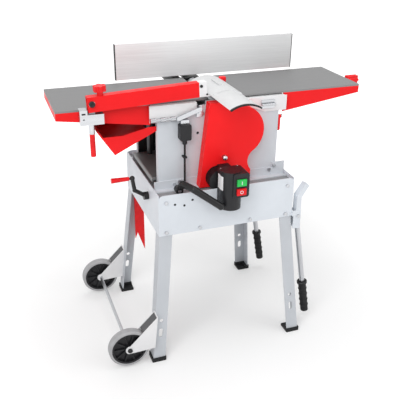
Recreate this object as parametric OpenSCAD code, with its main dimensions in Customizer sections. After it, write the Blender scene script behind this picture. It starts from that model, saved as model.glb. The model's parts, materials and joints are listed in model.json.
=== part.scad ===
// Combination planer thicknesser on a wheeled stand.
// X runs along the tables towards the infeed end, Y points away from the operator, Z is up from the floor.

/* [Tables] */
// Length over both tables
table_len = 1080; // [900:10:1300]
// Width of the tables
table_w = 270; // [240:5:330]
// Height of the tables above the floor
table_h = 930; // [880:5:980]
// Gap between the tables at the cutter
cutter_gap = 76; // [72:1:84]
// Thickness of the ground table plates
top_t = 6; // [5:0.5:8]
// Thickness of the table aprons
apron_t = 4; // [3:0.5:6]
// Height of the aprons at the outer ends
apron_end_h = 30; // [22:1:40]
// Height of the aprons at the inner ends
apron_root_h = 73; // [60:1:85]
// Distance of the aprons from the body
apron_off = 20; // [12:1:40]

/* [Stand] */
// Length of the base box
base_len = 500; // [470:5:540]
// Width of the base box
base_w = 440; // [420:5:480]
// Height of the tables above the base box
body_rise = 290; // [280:5:310]
// Depth of the base panels
base_h = 150; // [130:5:170]
// Thickness of the sheet steel
sheet_t = 2.5; // [2:0.25:4]
// Sideways run of each leg, in length and in width
leg_splay = 46; // [30:1:60]
// Width of each side of a leg angle
leg_w = 45; // [38:1:55]
// Thickness of a leg angle
leg_t = 3; // [2:0.5:5]
// Height of a rubber foot
foot_h = 15; // [12:1:24]

/* [Transport] */
// Radius of a wheel over its tyre
wheel_r = 73; // [65:1:78]
// Width of a wheel
wheel_w = 30; // [24:1:36]
// Depth of the tyre band
tyre_t = 10; // [8:1:16]
// Distance of the axle from the ends of the legs
axle_reach = 86; // [80:1:100]
// Height of the wheel axle
axle_z = 82; // [80:1:100]
// Radius of the wheel axle
axle_r = 6; // [5:0.5:8]
// Radius of a handle tube
handle_r = 10; // [8:0.5:13]
// Clearance of a hanging handle from the floor
handle_clear = 51; // [40:1:120]
// Length of a handle grip
grip_len = 132; // [110:2:150]
// Radius of a handle grip
grip_r = 15; // [13:0.5:18]
// Lean of a hanging handle from the vertical, in degrees
handle_lean = 9.5; // [7:0.5:14]

/* [Body] */
// Distance of the body from each end of the base box
body_inset = 31; // [26:1:40]
// Gap between the side plates
throat_w = 284; // [278:1:300]
// Thickness of the side plates
plate_t = 4; // [3:0.5:6]
// Distance of the side plates' top edge below the tables
plate_drop = 18; // [16:1:30]
// Distance of the deck below the top of the base box
deck_drop = 15; // [12:1:40]
// Height of the foot rails
rail_h = 32; // [26:1:40]
// Radius of the guide columns
column_r = 11; // [9:0.5:14]

/* [Cutter] */
// Radius of the cutter block
cutter_r = 31; // [28:0.5:32]
// Radius of the cutter shaft
shaft_r = 10; // [8:0.5:12]
// Number of planer knives
knife_count = 3; // [2:1:4]
// Radius of the feed rollers
roller_r = 15; // [12:0.5:16]
// Distance of each feed roller from the cutter axis
roller_reach = 62; // [58:1:72]

/* [Thicknessing table] */
// Overhang of the thicknessing table at each end of the body
bed_over = 16; // [6:1:18]
// Height of the thicknessing table above the deck at its lowest
bed_lift = 39; // [34:1:55]
// Thickness of the thicknessing table plate
bed_t = 10; // [8:0.5:14]
// Radius of the lifting screw
screw_r = 10; // [8:0.5:12]
// Throw of the height crank
crank_throw = 72; // [60:1:80]
// Length of the crank grip
crank_grip_len = 62; // [50:1:75]

/* [Drive] */
// Depth of the belt cover
cover_d = 34; // [30:1:40]
// Wall of the belt cover
cover_wall = 2.5; // [2:0.25:4]
// Radius of the round part of the belt cover
cover_lobe_r = 90; // [84:1:92]
// Radius of the motor end shield
motor_r = 40; // [36:1:41]
// Depth of the motor end shield in front of the cover
motor_d = 40; // [30:1:41]
// Width of the switch housing
switch_w = 72; // [66:1:80]
// Height of the switch housing
switch_h = 136; // [126:1:140]
// Depth of the switch housing
switch_d = 70; // [60:1:76]

/* [Fence] */
// Length of the fence
fence_len = 692; // [600:4:760]
// Height of the fence
fence_h = 127; // [110:1:140]
// Thickness of the fence extrusion
fence_t = 14; // [10:1:18]
// Distance of the fence behind the tables
fence_gap = 16; // [10:1:24]

/* [Guard] */
// Distance of the guard's clamp from the end of the outfeed table
clamp_inset = 70; // [50:1:90]
// Height of the guard arm
arm_h = 48; // [42:1:54]
// Thickness of the guard arm
arm_t = 28; // [24:1:32]
// Width of the bridge guard
bridge_w = 104; // [96:1:110]
// Length of the bridge guard
bridge_len = 360; // [330:5:380]
// Rise of the bridge guard's arch
bridge_rise = 15; // [12:1:20]
// Thickness of the bridge guard
bridge_t = 2.5; // [2:0.25:4]

/* [Chip side] */
// Width of the chip hood
hood_w = 270; // [256:2:280]
// Length of the chip hood
hood_len = 196; // [176:2:206]
// Depth of the chip hood
hood_h = 84; // [70:1:96]
// Length of the push stick
stick_len = 318; // [290:2:340]

/* [Hidden] */
$fn = 48;
// Overrun of every cut
over = 1;
// Gap between pieces that move past each other
gap = 0.5;
// Radial clearance of a running fit
fit = 0.05;

// Places of the main pieces
half_w = table_w / 2;
knife_rise = 1;
tip_r = cutter_r + knife_rise;
cutter_z = table_h - tip_r;
plate_top = table_h - plate_drop;
base_top = table_h - body_rise;
deck_z = base_top - deck_drop;
bed_z = deck_z + bed_lift;
body_len = base_len - 2 * body_inset;
bed_len = body_len + 2 * bed_over;
apron_x0 = body_len / 2 + apron_off;
stand_dx = 7;
stand_dy = -8;
base_bottom = base_top - base_h;
base_x0 = stand_dx - base_len / 2;
base_x1 = stand_dx + base_len / 2;
base_y0 = stand_dy - base_w / 2;
base_y1 = stand_dy + base_w / 2;
plate_y = throat_w / 2;
rail_t = 4;
cover_back = -plate_y - plate_t - rail_t;
cover_y = cover_back - cover_d;

// Stand details
corner_r = 18;
lip_w = 16;
tab_h = 55;
tab_lap = 7;
sole_t = 7;
foot_margin = 4;
foot_pocket = 15;
leg_run = sqrt(base_bottom * base_bottom + 2 * leg_splay * leg_splay);
leg_pitch = asin(leg_splay / leg_run);
leg_roll = atan(leg_splay / base_bottom);
leg_hole_r = 7;
leg_hole_shares = [0.66, 0.74, 0.78];
leg_x = base_len / 2 - sheet_t;
leg_y = base_w / 2 - sheet_t;
bolt_r = 4;
bolt_head_r = 7;
bolt_head_h = 4;
bolt_inset = 26;
bolt_low = 12;
bolt_high = 27;
mid_bolt_shares = [-0.206, 0.17];
panel_hole_r = 3.5;
panel_hole_shares = [[-0.386, 0.25], [-0.32, 0.3], [-0.262, 0.19]];
switch_off = 3;
deck_t = 3;
deck_window_l = 290;
deck_window_w = 150;

// Transport details
cheek_t = 3;
cheek_gap = 4;
cheek_nose_r = 15;
web_h = 130;
web_low_share = 0.86;
track_out = 30;
track_y = base_w / 2 + track_out;
cheek_y = wheel_w / 2 + cheek_gap;
axle_x = -leg_x - leg_splay - axle_reach;
axle_end = 6;
hub_r = 16;
rim_web_t = 10;
rim_rib_t = 5;
rim_rib_in = 4;
rim_rib_count = 10;
pin_r = 5;
ear_t = 3;
ear_w = 30;
ear_back_t = 5;
ear_drop = 50;
ear_rise = 22;
rest_w = 18;
rest_wall = 2;
rest_low = 14;
rest_h = 64;
rest_tip = 56;
rest_bend = 33;
rest_hollow = 30;
pivot_play = 2;
pivot_z = base_bottom - pivot_play;
handle_len = (pivot_z - handle_clear) / cos(handle_lean);
pivot_out = 24;
pivot_x = base_x1 + pivot_out;
handle_inset = 8;
handle_y = base_w / 2 - handle_inset;
stop_d = 40;
stop_h = 6;
collar_h = 8;
collar_rim = 4;
collar_r = grip_r + collar_rim;
rib_count = 4;
rib_rise = 2;

// Body details
return_d = 16;
rail_foot = 26;
rail_ear_w = 48;
rail_ear_h = 50;
rail_over_left = 15;
rail_over_right = 34;
bearing_r = 21;
bearing_w = 12;
roller_shaft_r = 7;
roller_z = cutter_z - tip_r - gap + roller_r;
bar_r = 6;
finger_ahead = 30;
finger_x = -roller_reach - finger_ahead;
finger_below = 5;
finger_z = cutter_z - finger_below;
finger_r = 9;
finger_t = 6;
finger_len = 28;
finger_count = 14;
post_inset_x = 40;
post_x = body_len / 2 - post_inset_x;
post_inset_y = 42;
post_y = plate_y - post_inset_y;
post_below = 18;
post_top = cutter_z - post_below;

// Every piece is drawn about the tables' centre, and the part's origin is the centre of its own box
part_x0 = -table_len / 2;
knob_reach = 62;
part_x1 = table_len / 2 + knob_reach;
switch_back = base_y0 - switch_off;
bridge_front = 217;
bridge_y0 = -half_w - bridge_front;
part_y0 = bridge_y0;
part_y1 = stand_dy + track_y + cheek_y + cheek_t + axle_end;
origin_x = (part_x0 + part_x1) / 2;
origin_y = (part_y0 + part_y1) / 2;

// An outline in X and Z, drawn as a plate from y to y + t
module plate_xz(y, t) translate([0, y + t, 0]) rotate([90, 0, 0]) linear_extrude(t) children();

// An outline in Y and Z, drawn as a plate from x to x + t
module plate_yz(x, t) translate([x, 0, 0]) rotate([90, 0, 90]) linear_extrude(t) children();

// Round bars along X, Y and Z from a given start
module bar_along_x(start, len, r) translate(start) rotate([0, 90, 0]) cylinder(h = len, r = r);
module bar_along_y(start, len, r) translate(start) rotate([-90, 0, 0]) cylinder(h = len, r = r);
module bar_along_z(start, len, r) translate(start) cylinder(h = len, r = r);

// A rectangle with rounded corners, set on its lowest corner
module round_rect(size, r) {
    translate([r, 0]) square([size[0] - 2 * r, size[1]]);
    translate([0, r]) square([size[0], size[1] - 2 * r]);
    for (x = [r, size[0] - r], y = [r, size[1] - r]) translate([x, y]) circle(r);
}

// Moves pieces from the tables' centre to the part's origin, and to the stand's own centre
module placed() translate([-origin_x, -origin_y, 0]) children();
module on_stand() placed() translate([stand_dx, stand_dy, 0]) children();

// Mirrors a corner piece to the four corners of the stand, or to its front and rear
module at_corners() for (i = [0, 1], j = [0, 1]) mirror([i, 0, 0]) mirror([0, j, 0]) children();
module front_and_rear() for (j = [0, 1]) mirror([0, j, 0]) children();

// Base box

// Bolts through the front and rear panels: leg bolts and middle bolts low down, deck bolts high up
module panel_bolt_places() {
    for (i = [0, 1], z = [base_bottom + bolt_low, base_top - bolt_high]) mirror([i, 0, 0])
        translate([-base_len / 2 + bolt_inset, -base_w / 2, z]) children();
    for (s = mid_bolt_shares) translate([s * base_len, -base_w / 2, base_bottom + bolt_low]) children();
}

module long_panel() {
    difference() {
        union() {
            plate_xz(-base_w / 2, sheet_t) {
                translate([-base_len / 2, base_bottom]) square([base_len, base_h - corner_r]);
                translate([-base_len / 2, base_bottom]) round_rect([base_len, base_h], corner_r);
            }
            translate([-leg_x + leg_w, -base_w / 2, base_bottom])
                cube([2 * (leg_x - leg_w), lip_w, sheet_t]);
            translate([-leg_x, -base_w / 2, deck_z - deck_t - sheet_t]) cube([2 * leg_x, lip_w, sheet_t]);
        }
        panel_bolt_places() bar_along_y([0, -over, 0], sheet_t + 2 * over, bolt_r);
        for (p = panel_hole_shares)
            bar_along_y([p[0] * base_len, -base_w / 2 - over, base_top - p[1] * base_h],
                sheet_t + 2 * over, panel_hole_r);
    }
}

module base_front_panel() color("gainsboro") on_stand() long_panel();
module base_rear_panel() color("gainsboro") on_stand() mirror([0, 1, 0]) long_panel();

module end_panel() {
    translate([-base_len / 2, -leg_y, base_bottom]) cube([sheet_t, 2 * leg_y, base_h]);
    translate([-base_len / 2, -leg_y + leg_w, base_bottom]) cube([lip_w, 2 * (leg_y - leg_w), sheet_t]);
}

// The crank shaft runs in a bush in the left panel
crank_y = -post_y;
crank_drop = 51;
crank_z = base_top - crank_drop;
crank_shaft_r = 8;
bush_r = 14;
bush_len = 14;

module base_left_panel() color("gainsboro") difference() {
    union() {
        on_stand() end_panel();
        placed() bar_along_x([base_x0, crank_y, crank_z], bush_len, bush_r);
    }
    placed() bar_along_x([base_x0 - over, crank_y, crank_z], bush_len + 2 * over, crank_shaft_r + fit);
}

// A bent tube that stands between the ears and leans outwards at its open top
module handle_rest() translate([-rest_w / 2, 0, rest_low]) difference() {
    plate_xz((ear_t - ear_w) / 2, ear_w - ear_t) {
        square([rest_w, rest_h]);
        translate([0, rest_h]) rotate(-rest_bend) square([rest_w, rest_tip]);
    }
    plate_xz((ear_t - ear_w) / 2 + rest_wall, ear_w - ear_t - 2 * rest_wall) translate([0, rest_h])
        rotate(-rest_bend) translate([rest_wall, rest_tip - rest_hollow])
            square([rest_w - 2 * rest_wall, rest_hollow + over]);
}

// Two ears on a back plate on the right panel, with a lip below that stops the hanging handle
module handle_ears() {
    stop_x = pivot_x - stand_dx + (stop_d - stop_h) * tan(handle_lean) - handle_r / cos(handle_lean) - gap;
    ear_x0 = base_len / 2;
    ear_x1 = pivot_x - stand_dx + pin_r + ear_back_t;
    ear_low = pivot_z - ear_drop;
    ear_top = pivot_z + ear_rise;
    difference() {
        union() {
            translate([ear_x0, -handle_y - ear_w / 2, base_bottom])
                cube([ear_back_t, ear_w, ear_top - base_bottom]);
            for (y = [-ear_w / 2, ear_w / 2 - ear_t]) plate_xz(-handle_y + y, ear_t) polygon([
                [ear_x0, ear_top], [ear_x1, ear_top], [ear_x1, ear_low], [ear_x0 + ear_back_t, ear_low],
                [ear_x0 + ear_back_t, base_bottom], [ear_x0, base_bottom]]);
            translate([ear_x0 + ear_back_t, -handle_y - ear_w / 2, pivot_z - stop_d - stop_h / 2])
                cube([stop_x - ear_x0 - ear_back_t, ear_w, stop_h]);
        }
        bar_along_y([pivot_x - stand_dx, -handle_y - ear_w, pivot_z], 2 * ear_w, pin_r);
    }
    translate([pivot_x - stand_dx, -handle_y, pivot_z]) handle_rest();
}

module base_right_panel() color("gainsboro") on_stand() {
    mirror([1, 0, 0]) end_panel();
    front_and_rear() handle_ears();
}

module base_deck() color("darkgray") difference() {
    on_stand() translate([-leg_x, -leg_y, deck_z - deck_t]) cube([2 * leg_x, 2 * leg_y, deck_t]);
    placed() {
        translate([-deck_window_l / 2, -deck_window_w / 2, deck_z - deck_t - over])
            cube([deck_window_l, deck_window_w, deck_t + 2 * over]);
        bar_along_z([-post_x, crank_y, deck_z - deck_t - over], deck_t + 2 * over, screw_r + fit);
    }
}

// Legs and feet

module leg_outline() difference() {
    square(leg_w);
    translate([leg_t, leg_t]) square(leg_w);
}

// The front left leg: an upright tab inside the panels, and the splayed angle below them
module leg() difference() {
    union() {
        translate([-leg_x, -leg_y, base_bottom - tab_lap]) linear_extrude(tab_h + tab_lap) leg_outline();
        translate([-leg_x, -leg_y, base_bottom]) rotate([-leg_pitch, leg_roll, 0])
            translate([0, 0, -leg_run]) linear_extrude(leg_run) leg_outline();
    }
    translate([-base_len, -base_w, -base_h]) cube([base_len, base_w, base_h + sole_t]);
    bar_along_y([-base_len / 2 + bolt_inset, -base_w / 2, base_bottom + bolt_low], leg_w, bolt_r);
    translate([-leg_x, -leg_y, base_bottom]) rotate([-leg_pitch, leg_roll, 0]) {
        bar_along_y([leg_w / 2, -over, -leg_run * leg_hole_shares[0]], leg_t + 2 * over, leg_hole_r);
        for (s = [leg_hole_shares[1], leg_hole_shares[2]])
            bar_along_y([leg_w / 2, -over, -leg_run * s], leg_t + 2 * over, leg_hole_r);
        translate([leg_w / 2 - leg_hole_r, -over, -leg_run * leg_hole_shares[2]])
            cube([2 * leg_hole_r, leg_t + 2 * over, leg_run * (leg_hole_shares[2] - leg_hole_shares[1])]);
    }
}

module legs() color("lightgray") on_stand() at_corners() leg();

module rubber_feet() color("dimgray") on_stand() at_corners() difference() {
    translate([-leg_x - leg_splay - foot_margin, -leg_y - leg_splay - foot_margin, 0])
        linear_extrude(foot_h) round_rect([leg_w + 2 * foot_margin, leg_w + 2 * foot_margin], foot_margin);
    leg();
    translate([foot_pocket - leg_x - leg_splay, foot_pocket - leg_y - leg_splay, sole_t])
        cube([leg_w, leg_w, foot_h]);
}

// Wheels, axle and brackets

// The axle seen from the top of a leg, in the plane of the leg's outer side
axle_dx = axle_x + leg_x;
axle_dz = axle_z - base_bottom;
axle_u = axle_dx * cos(leg_roll) - axle_dz * sin(leg_roll);
axle_w = axle_dx * sin(leg_roll) + axle_dz * cos(leg_roll);

module cheek_outline() {
    web_low = -base_bottom * web_low_share;
    polygon([[0, web_low + web_h], [0, web_low], [axle_u, axle_w - cheek_nose_r], [axle_u,
        axle_w + cheek_nose_r]]);
    translate([axle_u, axle_w]) circle(cheek_nose_r);
}

module wheel_bracket() translate([-leg_x, 0, base_bottom]) rotate([0, leg_roll, 0]) difference() {
    union() {
        for (y = [-cheek_y - cheek_t, cheek_y]) plate_xz(-track_y + y, cheek_t) cheek_outline();
        translate([-cheek_t, -track_y - cheek_y - cheek_t, -base_bottom * web_low_share])
            cube([cheek_t, 2 * (cheek_y + cheek_t), web_h]);
    }
    bar_along_y([axle_u, -track_y - wheel_w, axle_w], 2 * wheel_w, axle_r + fit);
}

module wheel_brackets() color("whitesmoke") on_stand() front_and_rear() wheel_bracket();

module wheel_axle() color("silver") on_stand() {
    axle_half = track_y + cheek_y + cheek_t + axle_end;
    bar_along_y([axle_x, -axle_half, axle_z], 2 * axle_half, axle_r);
}

rim_r = wheel_r - tyre_t;
rim_t = 7;

module rim() difference() {
    rotate([90, 0, 0]) {
        translate([0, 0, -wheel_w / 2 + gap]) difference() {
            cylinder(h = wheel_w - 2 * gap, r = rim_r);
            translate([0, 0, -over]) cylinder(h = wheel_w + 2 * over, r = rim_r - rim_t);
        }
        translate([0, 0, -rim_web_t / 2]) cylinder(h = rim_web_t, r = rim_r - rim_t / 2);
        translate([0, 0, -cheek_y + gap]) cylinder(h = 2 * (cheek_y - gap), r = hub_r);
        for (i = [1 : rim_rib_count]) rotate(i * 360 / rim_rib_count)
            translate([hub_r - rim_rib_t / 2, -rim_rib_t / 2, rim_rib_in - wheel_w / 2])
                cube([rim_r - rim_t / 2 - hub_r, rim_rib_t, wheel_w - 2 * rim_rib_in]);
    }
    bar_along_y([0, -wheel_w, 0], 2 * wheel_w, axle_r + fit);
}

tread_r = 6;

module tyre() rotate([90, 0, 0]) rotate_extrude() difference() {
    translate([rim_r - tread_r, -wheel_w / 2]) round_rect([tyre_t + tread_r, wheel_w], tread_r);
    translate([0, -wheel_w]) square([rim_r, 2 * wheel_w]);
}

module wheel_place(side) on_stand() translate([axle_x, side * track_y, axle_z]) children();
module rim_front() color("dimgray") wheel_place(-1) rim();
module rim_rear() color("dimgray") wheel_place(1) rim();
module tyre_front() color("darkgray") wheel_place(-1) tyre();
module tyre_rear() color("darkgray") wheel_place(1) tyre();

// Transport handles

grip_end_t = 4;
rib_r = 4;

module handle_tube() difference() {
    union() {
        translate([0, 0, -handle_len + grip_end_t]) cylinder(h = handle_len - grip_end_t, r = handle_r);
        bar_along_y([0, -ear_w / 2 + ear_t + gap, 0], ear_w - 2 * ear_t - 2 * gap, handle_r);
        translate([0, 0, -handle_len + grip_len]) cylinder(h = collar_h, r = collar_r);
    }
    bar_along_y([0, -ear_w, 0], 2 * ear_w, pin_r + fit);
}

module handle_grip() difference() {
    union() {
        translate([0, 0, -handle_len]) cylinder(h = grip_len, r = grip_r);
        for (i = [1 : rib_count]) translate([0, 0, -handle_len + i * grip_len / (rib_count + 1)])
            rotate_extrude() translate([grip_r - rib_r + rib_rise, 0]) circle(rib_r);
    }
    translate([0, 0, -handle_len + grip_end_t]) cylinder(h = handle_len, r = handle_r);
}

module handle_place(side) on_stand()
    translate([pivot_x - stand_dx, side * handle_y, pivot_z]) rotate([0, -handle_lean, 0]) children();
module handle_front() color("silver") handle_place(-1) handle_tube();
module handle_rear() color("silver") handle_place(1) handle_tube();
module grip_front() color("black") handle_place(-1) handle_grip();
module grip_rear() color("black") handle_place(1) handle_grip();

// Fasteners of the fixed frame

rail_bolt_shares = [-0.33, 0.44];
rail_bolt_lift = 24;
ear_bolt_in = 7;
ear_bolt_lift = 38;
cap_r = 9;
cap_stud_r = 4;
cap_x = 4;
cap_drop = 164;
cap_z = cutter_z - cap_drop;

module rail_bolt_places() {
    for (s = rail_bolt_shares) translate([s * body_len, 0, deck_z + rail_bolt_lift]) children();
    translate([body_len / 2 - ear_bolt_in, 0, deck_z + ear_bolt_lift]) children();
}

// A hexagon head whose shank runs along +Y
module hex_bolt(shank) {
    bar_along_y([0, 0, 0], shank, bolt_r);
    rotate([90, 0, 0]) cylinder(h = bolt_head_h, r = bolt_head_r, $fn = 6);
}

module bolts() color("silver") {
    on_stand() {
        front_and_rear() panel_bolt_places() hex_bolt(sheet_t + leg_t + bolt_head_h);
        front_and_rear() translate([pivot_x - stand_dx, -handle_y, pivot_z]) {
            bar_along_y([0, -ear_w / 2, 0], ear_w, pin_r);
            for (y = [-ear_w / 2 - bolt_head_h, ear_w / 2]) bar_along_y([0, y, 0], bolt_head_h,
                bolt_head_r);
        }
    }
    placed() front_and_rear() rail_bolt_places() translate([0, cover_back, 0])
        hex_bolt(rail_t + plate_t + bolt_head_h);
    placed() translate([cap_x, cover_y - cap_r, cap_z]) {
        bar_along_y([0, 0, 0], -plate_y - plate_t - cover_y + cap_r, cap_stud_r);
        bar_along_y([0, 0, 0], cap_r, cap_r);
        sphere(cap_r);
    }
    lever_place() bar_along_y([0, -lever_hub_len / 2, 0], cover_back - lever_y + lever_hub_len / 2,
        lever_pin_r);
    lock_lever_place() {
        bar_along_x([0, 0, 0], lock_pin_len + bolt_head_h, lock_pin_r);
        bar_along_x([lock_pin_len, 0, 0], bolt_head_h, lock_lever_r);
    }
}

// Body of the thicknesser

hump_w = 104;
hump_drop = 5;
wall_hole_r = 5;
wall_hole_x = -78;
wall_hole_drop = 82;
wall_hole_z = cutter_z - wall_hole_drop;

module side_outline() {
    translate([-body_len / 2, deck_z]) square([body_len, plate_top - deck_z]);
    translate([-hump_w / 2, plate_top - over]) square([hump_w, table_h - hump_drop - plate_top + over]);
}

// The front plate, with its end returns turned into the throat
module side_plate() difference() {
    union() {
        plate_xz(-plate_y - plate_t, plate_t) side_outline();
        for (s = [0, 1]) mirror([s, 0, 0])
            translate([-body_len / 2, -plate_y - plate_t / 2, deck_z])
                cube([plate_t, return_d + plate_t / 2, plate_top - deck_z]);
    }
    bar_along_y([0, -throat_w, cutter_z], throat_w, bearing_r);
    for (s = [-1, 1]) bar_along_y([s * roller_reach, -throat_w, roller_z], throat_w, roller_shaft_r + fit);
    rail_bolt_places() bar_along_y([0, -throat_w, 0], throat_w, bolt_r);
}

module side_plate_front() color("gainsboro") placed() difference() {
    side_plate();
    bar_along_y([wall_hole_x, -throat_w, wall_hole_z], throat_w, wall_hole_r);
}
module side_plate_rear() color("gainsboro") placed() mirror([0, 1, 0]) side_plate();

module foot_rail() difference() {
    rail_x0 = -body_len / 2 - rail_over_left;
    rail_len = body_len + rail_over_left + rail_over_right;
    union() {
        translate([rail_x0, -plate_y - plate_t - rail_t, deck_z]) cube([rail_len, rail_t, rail_h]);
        translate([rail_x0, -plate_y - plate_t - rail_foot, deck_z]) cube([rail_len, rail_foot, rail_t]);
        translate([rail_x0 + rail_len - rail_ear_w, -plate_y - plate_t - rail_t, deck_z])
            cube([rail_ear_w, rail_t, rail_ear_h]);
    }
    rail_bolt_places() bar_along_y([0, -throat_w, 0], throat_w, bolt_r);
}
module foot_rails() color("lightgray") placed() front_and_rear() foot_rail();

// Tie bars, the bar of the kickback fingers, the plain guide columns and the cutter's bearings
tie_inset = 20;
tie_x = body_len / 2 - tie_inset;
tie_z = cutter_z - bar_r;
finger_bar_r = 5;

module frame_bars() color("silver") placed() {
    for (s = [-1, 1]) bar_along_y([s * tie_x, -plate_y, tie_z], throat_w, bar_r);
    bar_along_y([finger_x, -plate_y, finger_z], throat_w, finger_bar_r);
    front_and_rear() cutter_bearing();
    for (p = [[post_x, -post_y], [post_x, post_y], [-post_x, post_y]])
        bar_along_z([p[0], p[1], deck_z], post_top - deck_z, column_r);
}

// Thicknessing table, lifting screw and crank

bed_w = throat_w - 2 * (return_d + plate_t);
bed_lip = 16;
boss_wall = 6;
boss_r = column_r + boss_wall;
boss_lift = 10;
boss_len = bed_z - bed_t - deck_z - boss_lift;
bed_rib_t = 8;
bed_rib_h = 14;
bed_edge_r = 5;

module bed_outline() {
    translate([-bed_len / 2 + bed_edge_r, bed_z - bed_t]) square([bed_len - 2 * bed_edge_r, bed_t]);
    for (s = [0, 1]) mirror([s, 0]) {
        translate([-bed_len / 2, bed_z - bed_lip]) square([bed_edge_r, bed_lip - bed_edge_r]);
        translate([-bed_len / 2 + bed_edge_r, bed_z - bed_edge_r]) circle(bed_edge_r);
    }
}

module thickness_table() color("dimgray") placed() difference() {
    union() {
        plate_xz(-bed_w / 2, bed_w) bed_outline();
        for (i = [0, 1], j = [0, 1]) mirror([i, 0, 0]) mirror([0, j, 0])
            bar_along_z([post_x, post_y, bed_z - bed_t - boss_len], boss_len + bed_t / 2, boss_r);
        for (y = [-post_y, post_y]) translate([-post_x, y - bed_rib_t / 2, bed_z - bed_t - bed_rib_h])
            cube([2 * post_x, bed_rib_t, bed_rib_h + bed_t / 2]);
    }
    for (p = [[post_x, -post_y], [post_x, post_y], [-post_x, post_y]])
        bar_along_z([p[0], p[1], deck_z], table_h - deck_z, column_r + fit);
    bar_along_z([-post_x, -post_y, deck_z], table_h - deck_z, screw_r + fit);
}

bevel_r = 22;
bevel_small_r = 13;
bevel_gap = 1;
collar_rise = 6;
screw_collar_r = 17;
screw_tail = 20;

module lead_screw() color("silver") placed() translate([-post_x, crank_y, 0]) {
    screw_low = crank_z - bevel_r - screw_tail;
    bar_along_z([0, 0, screw_low], post_top - screw_low, screw_r);
    bar_along_z([0, 0, deck_z], collar_rise, screw_collar_r);
    translate([0, 0, crank_z - bevel_r]) cylinder(h = bevel_r - bevel_small_r, r1 = bevel_r - bevel_gap,
        r2 = bevel_small_r - bevel_gap);
}

hub_len = 17;
crank_hub_r = 14;
crank_rise = 46;
crank_bar_r = 7;
crank_elbow_shares = [0.85, 0.36];
crank_pin_r = 4;
grip_thick = 9;

// The crank: shaft with its bevel, hub outside the panel, cranked arm and the pin of the grip
module crank_arm() color("black") placed() translate([0, crank_y, crank_z]) {
    shaft_end = -post_x - bevel_small_r;
    bar_along_x([base_x0 - hub_len, 0, 0], shaft_end - base_x0 + hub_len, crank_shaft_r);
    translate([-post_x - bevel_r, 0, 0]) rotate([0, 90, 0])
        cylinder(h = bevel_r - bevel_small_r, r1 = bevel_r - bevel_gap, r2 = bevel_small_r - bevel_gap);
    bar_along_x([base_x0 - gap - hub_len, 0, 0], hub_len, crank_hub_r);
    hub_x = base_x0 - gap - hub_len / 2;
    elbow = [hub_x - crank_rise * crank_elbow_shares[0], 0, crank_throw * crank_elbow_shares[1]];
    bent_bar([hub_x, 0, 0], elbow, crank_bar_r);
    bent_bar(elbow, [hub_x - crank_rise, 0, crank_throw], crank_bar_r);
    translate([hub_x - crank_rise, 0, crank_throw]) sphere(crank_bar_r + crank_pin_r / 2);
    bar_along_x([hub_x - crank_rise - crank_bar_r - crank_grip_len, 0, crank_throw], crank_grip_len,
        crank_pin_r);
}

module crank_grip() color("red") placed() {
    grip_x = base_x0 - gap - hub_len / 2 - crank_rise - crank_bar_r - crank_pin_r;
    difference() {
        translate([grip_x - crank_grip_len, crank_y, crank_z + crank_throw]) rotate([0, 90, 0])
            cylinder(h = crank_grip_len - gap, r1 = grip_thick, r2 = grip_thick - crank_pin_r / 2);
        bar_along_x([grip_x - crank_grip_len + crank_pin_r, crank_y, crank_z + crank_throw],
            crank_grip_len + over, crank_pin_r + fit);
    }
}

// Cutter block, knives, bearings and feed rollers

cutter_len = throat_w - 2 * bearing_w;
knife_t = 3;
knife_d = 17;
gullet_r = 7;
pulley_w = 14;
pulley_r = 18;
flange_r = 21;
flange_t = 2;
pulley_y = cover_back - gap - pulley_w;

module at_knives() for (i = [1 : knife_count]) rotate([0, i * 360 / knife_count, 0]) children();

module pulley(r, rim) {
    bar_along_y([0, flange_t, 0], pulley_w - 2 * flange_t, r);
    for (y = [0, pulley_w - flange_t]) bar_along_y([0, y, 0], flange_t, rim);
}

module cutter_block() color("silver") placed() translate([0, 0, cutter_z]) {
    difference() {
        bar_along_y([0, -cutter_len / 2, 0], cutter_len, cutter_r);
        at_knives() {
            translate([-knife_t / 2, -cutter_len, cutter_r - knife_d])
                cube([knife_t, 2 * cutter_len, knife_d + over]);
            bar_along_y([gullet_r, -cutter_len, cutter_r], 2 * cutter_len, gullet_r);
        }
    }
    bar_along_y([0, pulley_y, 0], plate_y + plate_t - pulley_y, shaft_r);
    translate([0, pulley_y, 0]) pulley(pulley_r, flange_r);
}

module planer_knives() color("lightgray") placed() translate([0, 0, cutter_z]) at_knives()
    translate([-knife_t / 2, -cutter_len / 2, cutter_r - knife_d])
        cube([knife_t, cutter_len, knife_d + knife_rise]);

module cutter_bearing() difference() {
    bar_along_y([0, -plate_y - plate_t, cutter_z], bearing_w, bearing_r);
    bar_along_y([0, -throat_w, cutter_z], throat_w, shaft_r + fit);
}

module roller(side) placed() {
    bar_along_y([side * roller_reach, -plate_y - plate_t, roller_z], throat_w + 2 * plate_t,
        roller_shaft_r);
    bar_along_y([side * roller_reach, -cutter_len / 2, roller_z], cutter_len, roller_r);
}
module infeed_roller() color("silver") roller(-1);
module outfeed_roller() color("gray") roller(1);

finger_tip_share = 0.35;

module kickback_fingers() color("gray") placed() for (i = [0 : finger_count - 1]) {
    pitch = cutter_len / finger_count;
    plate_xz(-cutter_len / 2 + i * pitch + (pitch - finger_t) / 2, finger_t) translate([finger_x, finger_z])
        difference() {
            union() {
                circle(finger_r);
                polygon([[-finger_r, 0], [finger_r, 0], [finger_r * finger_tip_share, -finger_len],
                    [-finger_r * finger_tip_share, -finger_len]]);
            }
            circle(finger_bar_r + fit);
        }
}

// Belt drive

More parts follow.
